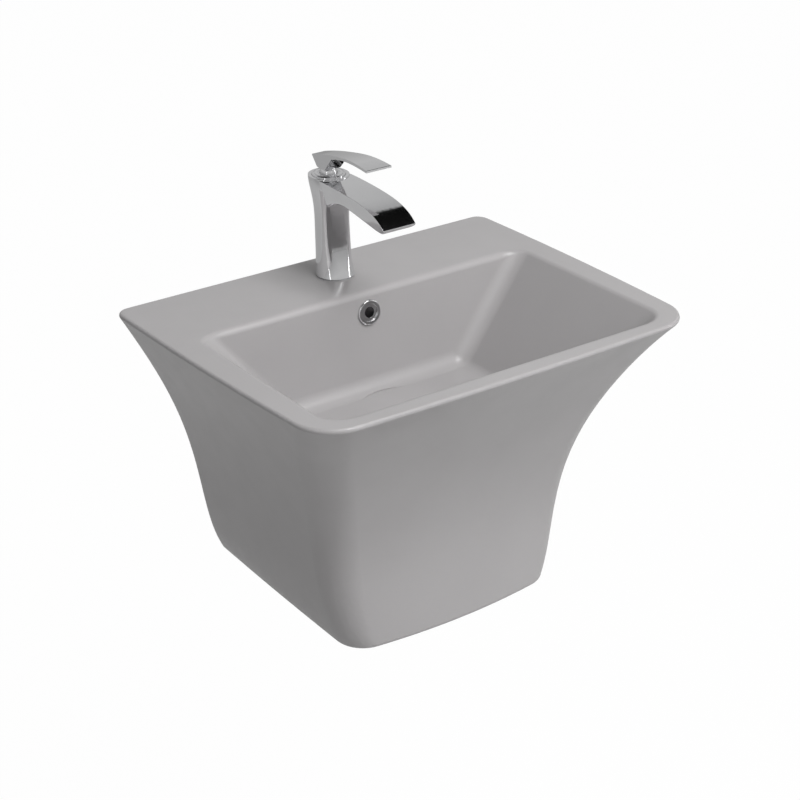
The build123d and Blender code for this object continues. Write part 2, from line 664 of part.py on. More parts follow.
stem_bottom_z = guide_top_z - GUIDE_THICKNESS - PLUG_TRAVEL - LATCH_LENGTH / 2
with BuildPart() as plug_stem:
    with BuildSketch(Plane.XY.offset(plug_seat_z)):
        with Locations((0, DRAIN_Y)):
            Circle(STEM_RADIUS)
    extrude(amount=stem_bottom_z - plug_seat_z)
    with BuildSketch(Plane.XY.offset(plug_seat_z)):
        with Locations((0, DRAIN_Y)):
            Circle(LATCH_RADIUS)
    extrude(amount=-SEAL_THICKNESS * 3)
    with BuildSketch(Plane.XY.offset(guide_top_z - GUIDE_THICKNESS - PLUG_TRAVEL - SEAT_GAP)):
        with Locations((0, DRAIN_Y)):
            Circle(LATCH_RADIUS)
    extrude(amount=-LATCH_LENGTH)
    chamfer(plug_stem.faces().sort_by(Axis.Z)[0].edges(), SEAL_THICKNESS)
save("plug_stem", plug_stem.part)

# Tailpiece from the waste down into the trap
dip_bottom_z = TRAP_BOTTOM_Z + (TRAP_JOINT_Z - TRAP_BOTTOM_Z) / 3
tail_bottom_z = TRAP_TOP_Z - TRAP_SOCKET_LENGTH
with BuildPart() as waste_tail:
    with BuildSketch(Plane.XY.offset(WASTE_BOTTOM_Z)):
        with Locations((0, DRAIN_Y)):
            Circle(TAIL_RADIUS)
            Circle(TAIL_BORE_RADIUS, mode=Mode.SUBTRACT)
    extrude(amount=tail_bottom_z - WASTE_BOTTOM_Z)
save("waste_tail", waste_tail.part)

# Head of the bottle trap: inlet socket, dip tube and side branch
nut_cover = TRAP_WALL + SEAL_THICKNESS * 2
neck_z = TRAP_TOP_Z + nut_cover - TRAP_NUT_LENGTH - SEAT_GAP
chamber_top_z = neck_z - 3 * TRAP_WALL
branch_end_y = DRAIN_Y + BRANCH_REACH
pipe_start_y = DRAIN_Y + DIP_RADIUS + TRAP_WALL * 2
with BuildPart() as trap_head:
    with BuildSketch(drain_section):
        with BuildLine():
            Polyline(
                (0, TRAP_TOP_Z),
                (TRAP_SOCKET_RADIUS, TRAP_TOP_Z),
                (TRAP_SOCKET_RADIUS, neck_z),
                (TRAP_RADIUS - TRAP_WALL, neck_z - TRAP_WALL),
                (TRAP_RADIUS, neck_z - 2 * TRAP_WALL),
                (TRAP_RADIUS, TRAP_JOINT_Z),
                (0, TRAP_JOINT_Z),
                close=True,
            )
        make_face()
    revolve(axis=drain_axis)
    with BuildSketch(wall_sketch(branch_end_y)):
        with Locations((0, BRANCH_Z)):
            Circle(BRANCH_RADIUS)
    extrude(amount=branch_end_y - pipe_start_y)
    with BuildSketch(Plane.XY.offset(chamber_top_z)):
        with Locations((0, DRAIN_Y)):
            Circle(TRAP_RADIUS - TRAP_WALL)
            Circle(DIP_RADIUS, mode=Mode.SUBTRACT)
    extrude(amount=TRAP_JOINT_Z - chamber_top_z, mode=Mode.SUBTRACT)
    with BuildSketch(wall_sketch(branch_end_y)):
        with Locations((0, BRANCH_Z)):
            Circle(PIPE_RADIUS + LOOSE_GAP)
    extrude(amount=branch_end_y - pipe_start_y, mode=Mode.SUBTRACT)
    with BuildSketch(Plane.XY.offset(TRAP_JOINT_Z)):
        with Locations((0, DRAIN_Y)):
            Circle(DIP_RADIUS)
    extrude(amount=dip_bottom_z - TRAP_JOINT_Z)
    with BuildSketch(Plane.XY.offset(TRAP_TOP_Z)):
        with Locations((0, DRAIN_Y)):
            Circle(TAIL_RADIUS + LOOSE_GAP)
    extrude(amount=tail_bottom_z - TRAP_TOP_Z, mode=Mode.SUBTRACT)
    with BuildSketch(Plane.XY.offset(TRAP_TOP_Z)):
        with Locations((0, DRAIN_Y)):
            Circle(TAIL_BORE_RADIUS)
    extrude(amount=dip_bottom_z - TRAP_TOP_Z, mode=Mode.SUBTRACT)
save("trap_head", trap_head.part)

with BuildPart() as trap_cup:
    with BuildSketch(drain_section):
        with BuildLine():
            floor_line = Line((0, TRAP_BOTTOM_Z), (TRAP_RADIUS - TRAP_WALL * 3, TRAP_BOTTOM_Z))
            cup_bend = TangentArc(
                floor_line @ 1, (TRAP_RADIUS, TRAP_BOTTOM_Z + TRAP_WALL * 3), tangent=(1, 0)
            )
            Polyline(
                cup_bend @ 1,
                (TRAP_RADIUS, TRAP_JOINT_Z - SEAL_THICKNESS),
                (TRAP_RADIUS - TRAP_WALL, TRAP_JOINT_Z - SEAL_THICKNESS),
                (TRAP_RADIUS - TRAP_WALL, TRAP_BOTTOM_Z + TRAP_WALL * 3),
                (0, TRAP_BOTTOM_Z + TRAP_WALL),
                (0, TRAP_BOTTOM_Z),
            )
        make_face()
    revolve(axis=drain_axis)
save("trap_cup", trap_cup.part)

with BuildPart() as cup_seal:
    with BuildSketch(Plane.XY.offset(TRAP_JOINT_Z)):
        with Locations((0, DRAIN_Y)):
            Circle(TRAP_RADIUS)
            Circle(TRAP_RADIUS - TRAP_WALL, mode=Mode.SUBTRACT)
    extrude(amount=-SEAL_THICKNESS)
save("cup_seal", cup_seal.part)

# Ribbed ring that screws the cup to the head
rib_pitch_radius = TRAP_RADIUS + TRAP_WALL
with BuildPart() as cup_ring:
    with BuildSketch(Plane.XY.offset(TRAP_JOINT_Z + TRAP_WALL * 2)):
        with Locations((0, DRAIN_Y)):
            Circle(rib_pitch_radius)
            with PolarLocations(rib_pitch_radius, RING_RIBS):
                Rectangle(TRAP_WALL / 2, TRAP_WALL)
            Circle(TRAP_RADIUS, mode=Mode.SUBTRACT)
    extrude(amount=-TRAP_WALL * 5)
save("cup_ring", cup_ring.part)


def compression_nut(plane, bore, socket):
    """Nut with its end wall on the plane, standing over a socket behind it."""
    with BuildPart() as nut:
        with BuildSketch(plane):
            RegularPolygon(TRAP_NUT_RADIUS, 12, major_radius=False)
        extrude(amount=-TRAP_NUT_LENGTH)
        chamfer(nut.faces().sort_by(Axis(plane.origin, plane.z_dir))[-1].edges(), TRAP_WALL / 2)
        with BuildSketch(plane):
            Circle(bore)
        extrude(amount=-TRAP_NUT_LENGTH, mode=Mode.SUBTRACT)
        with BuildSketch(plane.offset(-TRAP_WALL - SEAL_THICKNESS * 2)):
            Circle(socket)
        extrude(amount=-TRAP_NUT_LENGTH, mode=Mode.SUBTRACT)
    return nut.part


inlet_nut_plane = Plane(origin=(0, DRAIN_Y, TRAP_TOP_Z + nut_cover))
outlet_nut_plane = Plane(origin=(0, branch_end_y + nut_cover, BRANCH_Z), x_dir=(1, 0, 0), z_dir=(0, 1, 0))
save("trap_inlet_nut", compression_nut(inlet_nut_plane, TAIL_RADIUS, TRAP_SOCKET_RADIUS))
save("trap_outlet_nut", compression_nut(outlet_nut_plane, PIPE_RADIUS, BRANCH_RADIUS))

# Waste pipe from the trap's branch into the wall
with BuildPart() as outlet_pipe:
    with BuildSketch(wall_sketch(PIPE_BEYOND_WALL)):
        with Locations((0, BRANCH_Z)):
            Circle(PIPE_RADIUS)
            Circle(PIPE_BORE_RADIUS, mode=Mode.SUBTRACT)
    extrude(amount=PIPE_BEYOND_WALL - pipe_start_y)
    # Grooved mark at the wall's face, up to which the pipe goes in
    with BuildSketch(wall_sketch(0)):
        with Locations((0, BRANCH_Z)):
            Circle(PIPE_RADIUS + CUT_MARGIN)
            Circle(PIPE_RADIUS - PIPE_MARK_DEPTH, mode=Mode.SUBTRACT)
    extrude(amount=PIPE_MARK_WIDTH, mode=Mode.SUBTRACT)
save("outlet_pipe", outlet_pipe.part)

with BuildPart() as wall_rose:
    with BuildSketch(Plane.YZ):
        with BuildLine():
            rose_face = Line((0, BRANCH_Z + ROSE_RADIUS), (-ROSE_WALL, BRANCH_Z + ROSE_RADIUS))
            rose_neck = Line(
                (-ROSE_DEPTH, BRANCH_Z + PIPE_RADIUS + ROSE_WALL), (-ROSE_DEPTH, BRANCH_Z + PIPE_RADIUS)
            )
            TangentArc(rose_face @ 1, rose_neck @ 0, tangent=(-1, -1))
            Polyline(rose_neck @ 1, (0, BRANCH_Z + PIPE_RADIUS), rose_face @ 0)
        make_face()
    revolve(axis=Axis((0, 0, BRANCH_Z), (0, 1, 0)))
save("wall_rose", wall_rose.part)

# Tap body: column that narrows above a round base, head for the cartridge, and curved spout
def column_section(row):
    """Level section of the column: rounded at the back, flatter at the front."""
    height, half_width, back, front, front_radius = row
    return outline(
        Plane.XY.offset(DECK_Z + height),
        half_width,
        half_width,
        TAP_Y + back,
        TAP_Y - front,
        (half_width * COLUMN_BACK_ROUNDNESS, front_radius),
    )


def spout_section(row):
    """Upright section of the spout: flat top, sides drawn in to a rounded underside."""
    reach, top, bottom = row
    half_top = SPOUT_TOP_WIDTH / 2
    half_bottom = half_top - SPOUT_DRAFT * (top - bottom)
    with BuildSketch(wall_sketch(-reach)) as drawn:
        with BuildLine():
            Polyline(
                (-half_top, DECK_Z + top),
                (-half_bottom, DECK_Z + bottom),
                (half_bottom, DECK_Z + bottom),
                (half_top, DECK_Z + top),
                close=True,
            )
        make_face()
        fillet(drawn.vertices().group_by(Axis.Y)[0], min(SPOUT_EDGE_RADIUS, (top - bottom) / 3))
    return drawn.sketch


def channel(points, radius):
    """Round waterway through a list of points."""
    with BuildPart() as run:
        for start, end in zip(points, points[1:]):
            way = Vector(*end) - Vector(*start)
            with BuildSketch(Plane(origin=start, z_dir=way)):
                Circle(radius)
            extrude(amount=way.length)
        for bend in points[1:-1]:
            with Locations(bend):
                Sphere(radius)
    return run.part


cartridge_floor_z = DECK_Z + CARTRIDGE_FLOOR
cartridge_top_z = DECK_Z + CARTRIDGE_TOP
nut_top_z = DECK_Z + CARTRIDGE_NUT_TOP
head_top_z = DECK_Z + HEAD_HEIGHT
base_z = DECK_Z + GASKET_THICKNESS
outlet_roof_z = DECK_Z + OUTLET_ROOF
with BuildPart() as tap_body:
    loft([column_section(row) for row in COLUMN])
    loft([spout_section(row) for row in SPOUT])
    # Cavity for the cartridge, its nut and the collar
    for floor_z, radius, top_z in (
        (cartridge_floor_z, CARTRIDGE_RADIUS, cartridge_top_z),
        (cartridge_top_z, CARTRIDGE_NUT_RADIUS, nut_top_z),
        (nut_top_z, COLLAR_RADIUS, head_top_z),
    ):
        with BuildSketch(Plane.XY.offset(floor_z)):
            with Locations((0, HEAD_Y)):
                Circle(radius + LOOSE_GAP)
        extrude(amount=top_z - floor_z, mode=Mode.SUBTRACT)
    # Hot and cold inlets, then a slanted waterway from each to the cartridge
    with BuildSketch(Plane.XY.offset(base_z)):
        with Locations((0, INLET_Y)):
            with GridLocations(INLET_SPACING, 1, 2, 1):
                Circle(INLET_RADIUS)
    extrude(amount=INLET_LENGTH, mode=Mode.SUBTRACT)
    for side in (-1, 1):
        inlet_end = (side * INLET_SPACING / 2, INLET_Y, base_z + INLET_LENGTH - WATERWAY_RADIUS)
        port = (side * PORT_SPACING / 2, HEAD_Y - PORT_FORWARD, cartridge_floor_z + WATERWAY_RADIUS)
        add(channel([inlet_end, port], WATERWAY_RADIUS), mode=Mode.SUBTRACT)
    # Threaded hole for the fixing stud
    with BuildSketch(Plane.XY.offset(base_z)):
        with Locations((0, STUD_Y)):
            Circle(STUD_RADIUS)
    extrude(amount=STUD_IN_BODY, mode=Mode.SUBTRACT)
    # Waterway along the spout to the outlet
    spout_way = [(0, -reach, DECK_Z + height) for reach, height in WATERWAY]
    add(channel(spout_way, WATERWAY_RADIUS), mode=Mode.SUBTRACT)
    with BuildSketch(Plane.XY.offset(outlet_roof_z)):
        with Locations((0, -OUTLET_REACH)):
            Rectangle(OUTLET_WIDTH, OUTLET_LENGTH)
    extrude(amount=-OUTLET_DEPTH * 2, mode=Mode.SUBTRACT)
save("tap_body", tap_body.part)

# Slotted insert that smooths the stream
with BuildPart() as outlet_insert:
    with BuildSketch(Plane.XY.offset(outlet_roof_z)):
        with Locations((0, -OUTLET_REACH)):
            Rectangle(OUTLET_WIDTH, OUTLET_LENGTH)
            slot_pitch = (OUTLET_WIDTH - OUTLET_FRAME) / OUTLET_SLOTS
            with GridLocations(slot_pitch, 1, OUTLET_SLOTS, 1):
                Rectangle(OUTLET_SLOT, OUTLET_LENGTH - 2 * OUTLET_FRAME, mode=Mode.SUBTRACT)
    extrude(amount=-OUTLET_DEPTH)
save("outlet_insert", outlet_insert.part)

with BuildPart() as base_gasket:
    with BuildSketch(Plane.XY.offset(DECK_Z)):
        with Locations((0, TAP_Y)):
            Circle(TAP_BASE_RADIUS - SEAT_GAP)
        with Locations((0, INLET_Y)):
            with GridLocations(INLET_SPACING, 1, 2, 1):
                Circle(INLET_RADIUS + LOOSE_GAP, mode=Mode.SUBTRACT)
        with Locations((0, STUD_Y)):
            Circle(STUD_RADIUS, mode=Mode.SUBTRACT)
    extrude(amount=GASKET_THICKNESS)
save("base_gasket", base_gasket.part)

# Stud, horseshoe clamp and nut that pull the tap down on the deck
with BuildPart() as fixing_stud:
    with BuildSketch(Plane.XY.offset(base_z + STUD_IN_BODY)):
        with Locations((0, STUD_Y)):
            Circle(STUD_RADIUS)
    extrude(amount=-STUD_IN_BODY - GASKET_THICKNESS - STUD_BELOW_DECK)
    chamfer(fixing_stud.faces().sort_by(Axis.Z)[0].edges(), STUD_RADIUS / 4)
save("fixing_stud", fixing_stud.part)


def horseshoe(top_z, thickness, name):
    """Clamp ring under the deck, open to the front for the hoses."""
    with BuildPart() as ring:
        with BuildSketch(Plane.XY.offset(top_z)):
            with Locations((0, TAP_Y)):
                Circle(CLAMP_RADIUS)
            with Locations((0, TAP_Y + CLAMP_SLOT_BACK)):
                Rectangle(
                    CLAMP_SLOT_WIDTH,
                    CLAMP_RADIUS * 2,
                    align=(Align.CENTER, Align.MAX),
                    mode=Mode.SUBTRACT,
                )
            with Locations((0, STUD_Y)):
                Circle(STUD_RADIUS + LOOSE_GAP, mode=Mode.SUBTRACT)
        extrude(amount=-thickness)
    save(name, ring.part)


horseshoe(DECK_UNDERSIDE_Z, CLAMP_RUBBER, "clamp_rubber")
horseshoe(DECK_UNDERSIDE_Z - CLAMP_RUBBER, CLAMP_PLATE, "clamp_plate")

with BuildPart() as stud_nut:
    with BuildSketch(Plane.XY.offset(DECK_UNDERSIDE_Z - CLAMP_RUBBER - CLAMP_PLATE)):
        with Locations((0, STUD_Y)):
            RegularPolygon(STUD_NUT_FLATS / 2, 6, major_radius=False)
            Circle(STUD_RADIUS, mode=Mode.SUBTRACT)
    extrude(amount=-STUD_NUT_THICKNESS)
save("stud_nut", stud_nut.part)

# Mixing cartridge: seal, body with a chamber round its neck, and ring nut
seal_top_z = cartridge_floor_z + CARTRIDGE_SEAL
shoulder_z = DECK_Z + CARTRIDGE_SHOULDER
with BuildPart() as cartridge_seal:
    with BuildSketch(Plane.XY.offset(cartridge_floor_z)):
        with Locations((0, HEAD_Y)):
            Circle(CARTRIDGE_RADIUS)
        with Locations((0, HEAD_Y - PORT_FORWARD)):
            with GridLocations(PORT_SPACING, 1, 2, 1):
                Circle(WATERWAY_RADIUS, mode=Mode.SUBTRACT)
    extrude(amount=CARTRIDGE_SEAL)
save("cartridge_seal", cartridge_seal.part)

rotor_floor_z = cartridge_top_z - ROTOR_DEPTH
with BuildPart() as cartridge_body:
    with BuildSketch(Plane.XY.offset(seal_top_z)):
        with Locations((0, HEAD_Y)):
            Circle(CARTRIDGE_RADIUS)
    extrude(amount=shoulder_z - seal_top_z)
    with BuildSketch(Plane.XY.offset(shoulder_z)):
        with Locations((0, HEAD_Y)):
            Circle(CARTRIDGE_NECK_RADIUS)
    extrude(amount=cartridge_top_z - shoulder_z)
    with BuildSketch(Plane.XY.offset(rotor_floor_z)):
        with Locations((0, HEAD_Y)):
            Circle(ROTOR_RADIUS + SLIDE_GAP)
    extrude(amount=ROTOR_DEPTH, mode=Mode.SUBTRACT)
    with BuildSketch(Plane.XY.offset(seal_top_z)):
        with Locations((0, HEAD_Y - PORT_FORWARD)):
            with GridLocations(PORT_SPACING, 1, 2, 1):
                Circle(WATERWAY_RADIUS)
    extrude(amount=(rotor_floor_z - seal_top_z) / 2, mode=Mode.SUBTRACT)
save("cartridge_body", cartridge_body.part)

with BuildPart() as cartridge_nut:
    with BuildSketch(Plane.XY.offset(cartridge_top_z)):
        with Locations((0, HEAD_Y)):
            Circle(CARTRIDGE_NUT_RADIUS)
            Circle(CARTRIDGE_NUT_BORE, mode=Mode.SUBTRACT)
    extrude(amount=nut_top_z - cartridge_top_z)
    with BuildSketch(Plane.XY.offset(nut_top_z)):
        with Locations((0, HEAD_Y)):
            with PolarLocations(CARTRIDGE_NUT_BORE, 4):
                Rectangle(NUT_NOTCH * 2, NUT_NOTCH)
    extrude(amount=-NUT_NOTCH, mode=Mode.SUBTRACT)
save("cartridge_nut", cartridge_nut.part)

# Grooved collar whose round seat carries the lever's ball
pivot = (0, HEAD_Y, PIVOT_Z)
collar_top_z = DECK_Z + COLLAR_TOP
seat_radius = BALL_RADIUS + SEAT_GAP
collar_bore = math.sqrt(seat_radius**2 - COLLAR_SEAT_DROP**2)
with BuildPart() as head_collar:
    with BuildSketch(Plane.XY.offset(nut_top_z)):
        with Locations((0, HEAD_Y)):
            Circle(COLLAR_RADIUS)
            Circle(collar_bore, mode=Mode.SUBTRACT)
    extrude(amount=collar_top_z - nut_top_z)
    chamfer(head_collar.faces().sort_by(Axis.Z)[-1].outer_wire().edges(), COLLAR_GROOVE_DEPTH)
    with Locations(pivot):
        Sphere(seat_radius, mode=Mode.SUBTRACT)
    for radius, width in COLLAR_GROOVES:
        with BuildSketch(Plane.XY.offset(collar_top_z)):
            with Locations((0, HEAD_Y)):
                Circle(radius + width / 2)
                Circle(radius - width / 2, mode=Mode.SUBTRACT)
        extrude(amount=-COLLAR_GROOVE_DEPTH, mode=Mode.SUBTRACT)
save("head_collar", head_collar.part)

# Rotor: post in the cartridge with a fork that carries the lever's pin
fork_gap = STEM_THICKNESS + 2 * SEAT_GAP
with BuildPart() as cartridge_rotor:
    with BuildSketch(wall_sketch(HEAD_Y)):
        with Locations((0, PIVOT_Z)):
            Rectangle(FORK_WIDTH, FORK_REACH * 2)
    extrude(amount=FORK_RADIUS, both=True)
    with BuildSketch(Plane.YZ):
        with Locations((HEAD_Y, PIVOT_Z)):
            Circle(FORK_RADIUS)
            Rectangle(2 * FORK_RADIUS, FORK_REACH, align=(Align.CENTER, Align.MAX))
    extrude(amount=FORK_WIDTH, both=True, mode=Mode.INTERSECT)
    with Locations(pivot):
        Sphere(FORK_REACH, mode=Mode.INTERSECT)
    with BuildSketch(wall_sketch(HEAD_Y)):
        with Locations((0, PIVOT_Z - STEM_EYE_RADIUS - SEAT_GAP)):
            Rectangle(fork_gap, FORK_REACH * 2, align=(Align.CENTER, Align.MIN))
    extrude(amount=FORK_RADIUS, both=True, mode=Mode.SUBTRACT)
    with BuildSketch(Plane.XY.offset(rotor_floor_z + SEAT_GAP)):
        with Locations((0, HEAD_Y)):
            Circle(ROTOR_RADIUS)
    extrude(amount=PIVOT_Z - math.sqrt(FORK_REACH**2 - ROTOR_RADIUS**2) - rotor_floor_z - SEAT_GAP)
    with BuildSketch(Plane.YZ):
        with Locations((HEAD_Y, PIVOT_Z)):
            Circle(PIN_RADIUS)
    extrude(amount=FORK_WIDTH, both=True, mode=Mode.SUBTRACT)
save("cartridge_rotor", cartridge_rotor.part)

with BuildPart() as rotor_pin:
    with BuildSketch(Plane.YZ):
        with Locations((HEAD_Y, PIVOT_Z)):
            Circle(PIN_RADIUS)
    extrude(amount=FORK_WIDTH / 2, both=True)
save("rotor_pin", rotor_pin.part)

# Stem that tilts on the pin inside the ball
stem_top_z = DECK_Z + STEM_TOP
with BuildPart() as lever_stem:
    with BuildSketch(Plane.YZ):
        with Locations((HEAD_Y, PIVOT_Z)):
            Circle(STEM_EYE_RADIUS)
            Rectangle(STEM_DEPTH, stem_top_z - PIVOT_Z, align=(Align.CENTER, Align.MIN))
            Circle(PIN_RADIUS + SLIDE_GAP, mode=Mode.SUBTRACT)
    extrude(amount=STEM_THICKNESS / 2, both=True)
save("lever_stem", lever_stem.part)

# Lever: ball, wedge-shaped neck and thin blade that widens to the front
with BuildPart() as lever_shape:
    with BuildSketch(Plane.YZ):
        with BuildLine():
            top_points = [(-reach, DECK_Z + height) for reach, height in LEVER_TOP]
            under_points = [(-reach, DECK_Z + height) for reach, height in LEVER_UNDER]
            neck_points = [(-reach, DECK_Z + height) for reach, height in LEVER_NECK]
            Spline(*top_points)
            Line(top_points[-1], under_points[0])
            Spline(*under_points)
            Polyline(under_points[-1], *neck_points, (-LEVER_BACK, DECK_Z + LEVER_HEEL), top_points[0])
        make_face()
    extrude(amount=LEVER_FRONT_WIDTH, both=True)
    with BuildSketch(Plane.XY.offset(PIVOT_Z)):
        with BuildLine():
            Polyline(
                (-LEVER_BACK_WIDTH / 2, -LEVER_BACK),
                (-LEVER_FRONT_WIDTH / 2, -LEVER_FRONT),
                (LEVER_FRONT_WIDTH / 2, -LEVER_FRONT),
                (LEVER_BACK_WIDTH / 2, -LEVER_BACK),
                close=True,
            )
        make_face()
    extrude(amount=LEVER_FRONT, mode=Mode.INTERSECT)
    blade_top = lever_shape.faces().sort_by(Axis.Z)[-1]
    fillet(blade_top.edges(), LEVER_EDGE_RADIUS)
    with Locations(pivot):
        Sphere(BALL_RADIUS)

screw_z = DECK_Z + SCREW_HEIGHT
stem_back_y = HEAD_Y + STEM_DEPTH / 2
with BuildPart() as lever_handle:
    add(lever_shape.part)
    with Locations(pivot):
        Sphere(BALL_CAVITY_RADIUS, mode=Mode.SUBTRACT)
    with BuildSketch(Plane.XY.offset(PIVOT_Z - BALL_OPENING_DROP)):
        with Locations((0, HEAD_Y)):
            Circle(BALL_RADIUS + CUT_MARGIN)
    extrude(amount=-BALL_RADIUS, mode=Mode.SUBTRACT)
    with BuildSketch(Plane.XY.offset(PIVOT_Z)):
        with Locations((0, HEAD_Y)):
            Rectangle(STEM_THICKNESS, STEM_DEPTH)
    extrude(amount=stem_top_z - PIVOT_Z, mode=Mode.SUBTRACT)
    with BuildSketch(wall_sketch(HEAD_Y)):
        with Locations((0, screw_z)):
            Circle(SCREW_RADIUS)
    extrude(amount=HEAD_Y, mode=Mode.SUBTRACT)
save("lever_handle", lever_handle.part)

with BuildPart() as grub_screw:
    with BuildSketch(wall_sketch(stem_back_y)):
        with Locations((0, screw_z)):
            Circle(SCREW_RADIUS)
    extrude(amount=-SCREW_LENGTH)
    with BuildSketch(wall_sketch(stem_back_y + SCREW_LENGTH)):
        with Locations((0, screw_z)):
            RegularPolygon(SCREW_RADIUS / 2, 6)
    extrude(amount=SCREW_LENGTH / 2, mode=Mode.SUBTRACT)
save("grub_screw", grub_screw.part)

# Cap that closes the screw's hole, flush with the slanted heel
with BuildPart() as screw_cap:
    with BuildSketch(wall_sketch(stem_back_y + SCREW_LENGTH + CAP_SETBACK)):
        with Locations((0, screw_z)):
            Circle(SCREW_RADIUS)
    extrude(amount=HEAD_Y)
    add(lever_shape.part, mode=Mode.INTERSECT)
save("screw_cap", screw_cap.part)
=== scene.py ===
import json
import math

import bpy
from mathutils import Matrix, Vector

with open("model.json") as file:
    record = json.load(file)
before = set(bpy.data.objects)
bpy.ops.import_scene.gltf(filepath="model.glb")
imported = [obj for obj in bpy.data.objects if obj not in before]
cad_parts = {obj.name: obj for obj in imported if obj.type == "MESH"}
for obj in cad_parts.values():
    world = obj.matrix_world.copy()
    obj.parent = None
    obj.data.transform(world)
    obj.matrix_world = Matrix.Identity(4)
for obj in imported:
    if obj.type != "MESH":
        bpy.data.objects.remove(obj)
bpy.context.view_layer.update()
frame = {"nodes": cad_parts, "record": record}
scene = bpy.context.scene
nodes = frame["nodes"]

# Lengths are metres. +X is right seen from the front, the wall is at Y = 0, and +Z is up.
SMOOTH_BELOW = math.radians(28)
WELD_DISTANCE = 0.000005

# Viewpoint and lens that the photo's perspective gives
CAMERA_AT = (-1.1649, -1.7680, 0.9158)
CAMERA_AIM = (-0.01015, -0.1967, -0.0297)
CAMERA_LENS = 86.48
CAMERA_CLIP = 60.0

# Each lamp: name, place, width, length, watts, and whether metal shows it.
LAMPS = (
    ("key", (0.7, -2.9, 2.0), 1.7, 1.7, 40, False),
    ("high", (0.4, -2.3, 2.7), 1.7, 1.7, 58, False),
    ("top", (0.5, -1.5, 2.5), 1.6, 1.4, 34, True),
    ("left_strip", (-2.3, -1.3, 0.5), 0.10, 2.2, 2.2, True),
    ("right_strip", (2.2, -1.4, 0.4), 0.28, 2.2, 5.0, True),
)
LAMP_AIM = (0, -0.2, 0)

ROOM_LIGHT = 0.35
# What metal mirrors of the room: the sine of a height above the horizon, and a grey.
ROOM_STEPS = (
    (0.0, 0.40),
    (0.12, 0.46),
    (0.35, 0.55),
    (0.55, 0.50),
    (0.70, 0.42),
    (0.735, 0.004),
    (1.0, 0.004),
)

FLOOR_Z = -0.775
FLOOR_REACH = 14.0
FLOOR_GREY = (0.55, 0.55, 0.55)
# Shares of white that the camera and metal see in place of the floor's own grey.
FLOOR_SEEN_WHITE = 0.985
FLOOR_MIRRORED_WHITE = 0.15

CERAMIC_GREY = (0.335, 0.325, 0.328)
CHROME_GREY = (0.80, 0.80, 0.81)
STEEL_GREY = (0.58, 0.59, 0.61)

# Noise scales are cells a metre, and shades are how dark and how light a colour gets.
NOISE_LOW = 0.3
NOISE_HIGH = 0.7
EDGE_SAMPLES = 6

GLAZE_CLOUDS = 9
GLAZE_CLOUD_SHADES = (0.975, 1.02)
GLAZE_SPECKS = 900
GLAZE_SPECK_SHADES = (0.975, 1.0)
GLAZE_SPECK_DEPTH = 0.00001
GLAZE_SHINE = 26
GLAZE_ROUGHNESS = (0.30, 0.37)
GLAZE_RIPPLE = 55
GLAZE_RIPPLE_DEPTH = 0.00008
GLAZE_IOR = 1.5
GLAZE_COAT = 0.25
GLAZE_COAT_ROUGHNESS = 0.12

METAL_SHADES = (0.97, 1.01)
METAL_GRAIN_DEPTH = 0.00001
SMEAR_DETAIL = 5
SMEAR_ROUGHNESS = 0.6
# Each metal: colour, least and most roughness, smears, radius of its edges, and grain.
METALS = {
    "chrome": (CHROME_GREY, (0.06, 0.10), 40, 0.0005, None),
    "brass": ((0.72, 0.54, 0.27), (0.22, 0.38), 120, 0.0003, 2500),
    "steel": (STEEL_GREY, (0.25, 0.4), 160, 0.0003, 2600),
}

THREAD_SMEARS = 160
# Thread colour from groove to crest: the grooves are painted darker as shade and the crests a little
# lighter.
THREAD_PAINTED_GROOVE_SHADES = (0.55, 1.05)
THREAD_ROUGHNESS = (0.26, 0.42)
BOLT_PITCH = 0.0016
STUD_PITCH = 0.00125

MOULDED_PATCHES = 60
MOULDED_SHADES = (0.94, 1.04)
MOULDED_EDGE = 0.0003
# Each moulding: colour, least and most roughness, grain, and the depth of its grain.
MOULDINGS = {
    "rubber": ((0.028, 0.028, 0.03), (0.6, 0.78), 2400, 0.00003),
    "white_plastic": ((0.78, 0.78, 0.75), (0.3, 0.42), 1500, 0.00001),
    "dark_plastic": ((0.035, 0.035, 0.04), (0.22, 0.32), 1500, 0.00001),
}
# The photo shows no dark line under the tap.
PALE_GASKET = ((0.36, 0.36, 0.37), (0.3, 0.45), 1800, 0.00001)


def empty_tree(owner):
    """Node tree of a material or world, cleared."""
    owner.use_nodes = True
    owner.node_tree.nodes.clear()
    return owner.node_tree


def new_material(name):
    """Material whose tree holds a Principled shader and the output."""
    made = bpy.data.materials.new(name)
    tree = empty_tree(made)
    output = tree.nodes.new("ShaderNodeOutputMaterial")
    shader = tree.nodes.new("ShaderNodeBsdfPrincipled")
    tree.links.new(shader.outputs["BSDF"], output.inputs["Surface"])
    return made, tree, shader


def object_coordinates(tree):
    """Place on the object, in metres."""
    return tree.nodes.new("ShaderNodeTexCoord").outputs["Object"]


def noise(tree, vector, scale, detail, roughness=0.5):
    """Noise value, mostly between NOISE_LOW and NOISE_HIGH."""
    made = tree.nodes.new("ShaderNodeTexNoise")
    made.inputs["Scale"].default_value = scale
    made.inputs["Detail"].default_value = detail
    made.inputs["Roughness"].default_value = roughness
    tree.links.new(vector, made.inputs["Vector"])
    return made.outputs["Fac"]


def spread(tree, value, low, high):
    """Noise value turned into one from low to high."""
    made = tree.nodes.new("ShaderNodeMapRange")
    made.inputs["From Min"].default_value = NOISE_LOW
    made.inputs["From Max"].default_value = NOISE_HIGH
    made.inputs["To Min"].default_value = low
    made.inputs["To Max"].default_value = high
    tree.links.new(value, made.inputs["Value"])
    return made.outputs["Result"]


def shaded(tree, value, colour, shades):
    """Colour between its dark and its light shade."""
    made = tree.nodes.new("ShaderNodeMix")
    made.data_type = "RGBA"
    for socket, shade in zip(("A", "B"), shades):
        made.inputs[socket].default_value = (*(min(1.0, channel * shade) for channel in colour), 1)
    tree.links.new(value, made.inputs["Factor"])
    return made.outputs["Result"]


